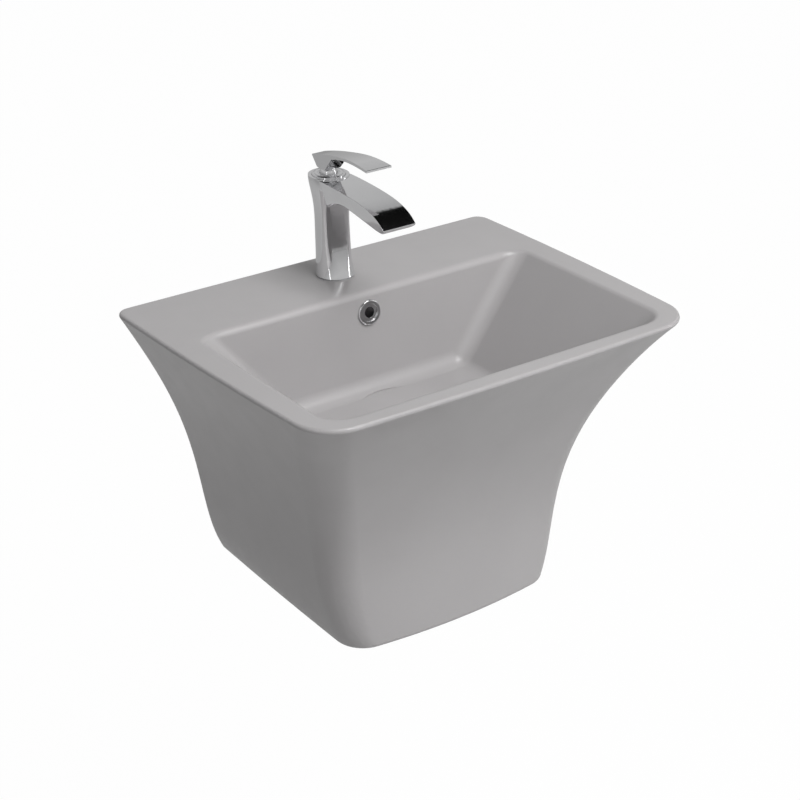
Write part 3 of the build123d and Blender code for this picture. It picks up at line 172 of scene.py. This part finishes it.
def multiplied(tree, first, second):
    """One colour times another."""
    made = tree.nodes.new("ShaderNodeMix")
    made.data_type = "RGBA"
    made.blend_type = "MULTIPLY"
    made.inputs["Factor"].default_value = 1
    tree.links.new(first, made.inputs["A"])
    tree.links.new(second, made.inputs["B"])
    return made.outputs["Result"]


def bump(tree, height, distance, strength, normal=None):
    """Normal that shows a height, whose full scale is a distance in metres."""
    made = tree.nodes.new("ShaderNodeBump")
    made.inputs["Distance"].default_value = distance
    made.inputs["Strength"].default_value = strength
    tree.links.new(height, made.inputs["Height"])
    if normal is not None:
        tree.links.new(normal, made.inputs["Normal"])
    return made.outputs["Normal"]


def soft_edges(tree, radius):
    """Normal that rounds each edge a little."""
    made = tree.nodes.new("ShaderNodeBevel")
    made.samples = EDGE_SAMPLES
    made.inputs["Radius"].default_value = radius
    return made.outputs["Normal"]


def glazed_ceramic():
    """Grey glaze: even colour with slight clouds and specks, faint ripple and a soft shine."""
    made, tree, shader = new_material("glazed_ceramic")
    place = object_coordinates(tree)
    clouds = noise(tree, place, GLAZE_CLOUDS, detail=4)
    specks = noise(tree, place, GLAZE_SPECKS, detail=2)
    shine = noise(tree, place, GLAZE_SHINE, detail=3)
    ripple = noise(tree, place, GLAZE_RIPPLE, detail=2)
    cloud_colour = shaded(tree, spread(tree, clouds, 0, 1), CERAMIC_GREY, GLAZE_CLOUD_SHADES)
    speck_colour = shaded(tree, spread(tree, specks, 0, 1), (1, 1, 1), GLAZE_SPECK_SHADES)
    normal = bump(tree, ripple, GLAZE_RIPPLE_DEPTH, strength=0.5)
    normal = bump(tree, specks, GLAZE_SPECK_DEPTH, strength=0.4, normal=normal)
    tree.links.new(multiplied(tree, cloud_colour, speck_colour), shader.inputs["Base Color"])
    tree.links.new(spread(tree, shine, *GLAZE_ROUGHNESS), shader.inputs["Roughness"])
    tree.links.new(normal, shader.inputs["Normal"])
    shader.inputs["IOR"].default_value = GLAZE_IOR
    shader.inputs["Coat Weight"].default_value = GLAZE_COAT
    shader.inputs["Coat Roughness"].default_value = GLAZE_COAT_ROUGHNESS
    return made


def metal(name, colour, roughness, smear_scale, edge, grain):
    """Bare or plated metal with uneven shine, softened edges and, where it has one, a grain."""
    made, tree, shader = new_material(name)
    place = object_coordinates(tree)
    smears = noise(tree, place, smear_scale, SMEAR_DETAIL, SMEAR_ROUGHNESS)
    normal = soft_edges(tree, edge)
    if grain:
        grains = noise(tree, place, grain, detail=2)
        normal = bump(tree, grains, METAL_GRAIN_DEPTH, strength=0.5, normal=normal)
    base_colour = shaded(tree, spread(tree, smears, 0, 1), colour, METAL_SHADES)
    tree.links.new(base_colour, shader.inputs["Base Color"])
    tree.links.new(spread(tree, smears, *roughness), shader.inputs["Roughness"])
    tree.links.new(normal, shader.inputs["Normal"])
    shader.inputs["Metallic"].default_value = 1
    return made


def threaded(name, axis, pitch):
    """Zinc-plated steel with a rolled thread along one axis of the object, its grooves painted
    darker as shade.
    """
    made, tree, shader = new_material(name)
    place = object_coordinates(tree)
    smears = noise(tree, place, THREAD_SMEARS, SMEAR_DETAIL, SMEAR_ROUGHNESS)
    wave = tree.nodes.new("ShaderNodeTexWave")
    wave.wave_type = "BANDS"
    wave.bands_direction = axis
    wave.wave_profile = "TRI"
    # One band of the wave is a tenth of pi wide at a scale of 1.
    wave.inputs["Scale"].default_value = math.pi / 10 / pitch
    wave.inputs["Distortion"].default_value = 0
    tree.links.new(place, wave.inputs["Vector"])
    crests = wave.outputs["Fac"]
    # Painted shade: the colour follows the thread's height, dark in the grooves and light on the
    # crests.
    tree.links.new(shaded(tree, crests, STEEL_GREY, THREAD_PAINTED_GROOVE_SHADES), shader.inputs["Base Color"])
    tree.links.new(spread(tree, smears, *THREAD_ROUGHNESS), shader.inputs["Roughness"])
    tree.links.new(bump(tree, crests, pitch / 2, strength=0.9), shader.inputs["Normal"])
    shader.inputs["Metallic"].default_value = 1
    return made


def moulded(name, colour, roughness, grain, depth):
    """Moulded plastic or rubber with fine grain."""
    made, tree, shader = new_material(name)
    place = object_coordinates(tree)
    patches = noise(tree, place, MOULDED_PATCHES, detail=4)
    grains = noise(tree, place, grain, detail=2)
    base_colour = shaded(tree, spread(tree, patches, 0, 1), colour, MOULDED_SHADES)
    normal = bump(tree, grains, depth, strength=0.6, normal=soft_edges(tree, MOULDED_EDGE))
    tree.links.new(base_colour, shader.inputs["Base Color"])
    tree.links.new(spread(tree, patches, *roughness), shader.inputs["Roughness"])
    tree.links.new(normal, shader.inputs["Normal"])
    return made


materials = {"ceramic": glazed_ceramic()}
materials.update({name: metal(name, *finish) for name, finish in METALS.items()})
materials.update({name: moulded(name, *finish) for name, finish in MOULDINGS.items()})
own_materials = {
    "hanger_bolts": threaded("bolt_thread", "Y", BOLT_PITCH),
    "fixing_stud": threaded("stud_thread", "Z", STUD_PITCH),
    "base_gasket": moulded("pale_gasket", *PALE_GASKET),
}
slot_of = {entry["node"]: entry["material_slot"] for entry in frame["record"]["subparts"]}

for name, node in nodes.items():
    node.data.materials.clear()
    node.data.materials.append(own_materials.get(name, materials[slot_of[name]]))
    for face in node.data.polygons:
        face.use_smooth = True
    weld = node.modifiers.new("weld", "WELD")
    weld.merge_threshold = WELD_DISTANCE
    split = node.modifiers.new("split", "EDGE_SPLIT")
    split.split_angle = SMOOTH_BELOW
    node.modifiers.new("normals", "WEIGHTED_NORMAL")


def calculated(tree, operation, *values):
    """Result of a Math node, whose values are sockets or plain numbers."""
    made = tree.nodes.new("ShaderNodeMath")
    made.operation = operation
    for socket, value in zip(made.inputs, values):
        if isinstance(value, float):
            socket.default_value = value
        else:
            tree.links.new(value, socket)
    return made.outputs["Value"]


def seen_directly(tree, path):
    """1 where the camera sees a surface, also through glass, and 0 elsewhere."""
    return calculated(tree, "MAXIMUM", path.outputs["Is Camera Ray"],
                      path.outputs["Is Transmission Ray"])


def blended(tree, factor, first, second):
    """Shader between two shaders."""
    made = tree.nodes.new("ShaderNodeMixShader")
    tree.links.new(factor, made.inputs["Fac"])
    tree.links.new(first, made.inputs[1])
    tree.links.new(second, made.inputs[2])
    return made.outputs["Shader"]


def camera_white(name, colour, seen_share, mirrored_share):
    """Matt surface with a share of plain white where the camera sees it or metal mirrors it."""
    made = bpy.data.materials.new(name)
    tree = empty_tree(made)
    output = tree.nodes.new("ShaderNodeOutputMaterial")
    matt = tree.nodes.new("ShaderNodeBsdfDiffuse")
    matt.inputs["Color"].default_value = (*colour, 1)
    white = tree.nodes.new("ShaderNodeEmission")
    white.inputs["Color"].default_value = (1, 1, 1, 1)
    white.inputs["Strength"].default_value = 1
    path = tree.nodes.new("ShaderNodeLightPath")
    seen = calculated(tree, "MULTIPLY", seen_directly(tree, path), seen_share)
    whiteness = calculated(tree, "MULTIPLY_ADD", path.outputs["Is Glossy Ray"], mirrored_share, seen)
    surface = blended(tree, whiteness, matt.outputs["BSDF"], white.outputs["Emission"])
    tree.links.new(surface, output.inputs["Surface"])
    return made


def background(tree, strength):
    """White light from all sides."""
    made = tree.nodes.new("ShaderNodeBackground")
    made.inputs["Color"].default_value = (1, 1, 1, 1)
    made.inputs["Strength"].default_value = strength
    return made


def studio_world():
    """Even room light, white behind the object, and a grey room with a dark ceiling for metal."""
    made = bpy.data.worlds.new("studio")
    tree = empty_tree(made)
    output = tree.nodes.new("ShaderNodeOutputWorld")
    even = background(tree, ROOM_LIGHT)
    white = background(tree, 1)
    room = background(tree, 1)
    height = tree.nodes.new("ShaderNodeSeparateXYZ")
    direction = tree.nodes.new("ShaderNodeTexCoord").outputs["Generated"]
    tree.links.new(direction, height.inputs["Vector"])
    ramp = tree.nodes.new("ShaderNodeValToRGB")
    for position, _ in ROOM_STEPS[1:-1]:
        ramp.color_ramp.elements.new(position)
    for step, (_, grey) in zip(ramp.color_ramp.elements, ROOM_STEPS):
        step.color = (grey, grey, grey, 1)
    tree.links.new(height.outputs["Z"], ramp.inputs["Fac"])
    tree.links.new(ramp.outputs["Color"], room.inputs["Color"])
    path = tree.nodes.new("ShaderNodeLightPath")
    lit = blended(tree, path.outputs["Is Glossy Ray"],
                  even.outputs["Background"], room.outputs["Background"])
    shown = blended(tree, seen_directly(tree, path), lit, white.outputs["Background"])
    tree.links.new(shown, output.inputs["Surface"])
    return made


def stand(placed, at, aim):
    """Link an object into the scene at one point and face it towards another."""
    scene.collection.objects.link(placed)
    placed.location = at
    placed.rotation_euler = (Vector(aim) - Vector(at)).to_track_quat("-Z", "Y").to_euler()


def softbox(name, width, length, power):
    """Large soft lamp."""
    light = bpy.data.lights.new(name, "AREA")
    light.shape = "RECTANGLE"
    light.size = width
    light.size_y = length
    light.energy = power
    return bpy.data.objects.new(name, light)


# Floor under the hanging basin
corners = ((-1, -1), (1, -1), (1, 1), (-1, 1))
floor_mesh = bpy.data.meshes.new("floor")
floor_mesh.from_pydata([(x * FLOOR_REACH, y * FLOOR_REACH, FLOOR_Z) for x, y in corners],
                       [], [(0, 1, 2, 3)])
floor_mesh.materials.append(
    camera_white("pale_floor", FLOOR_GREY, FLOOR_SEEN_WHITE, FLOOR_MIRRORED_WHITE))
floor = bpy.data.objects.new("floor", floor_mesh)
scene.collection.objects.link(floor)

scene.world = studio_world()

for name, at, width, length, power, mirrored in LAMPS:
    lamp = softbox(name, width, length, power)
    lamp.visible_glossy = mirrored
    stand(lamp, at, LAMP_AIM)

camera = bpy.data.objects.new("camera", bpy.data.cameras.new("camera"))
camera.data.lens = CAMERA_LENS
camera.data.clip_end = CAMERA_CLIP
stand(camera, CAMERA_AT, CAMERA_AIM)
scene.camera = camera

scene.view_settings.view_transform = "Standard"
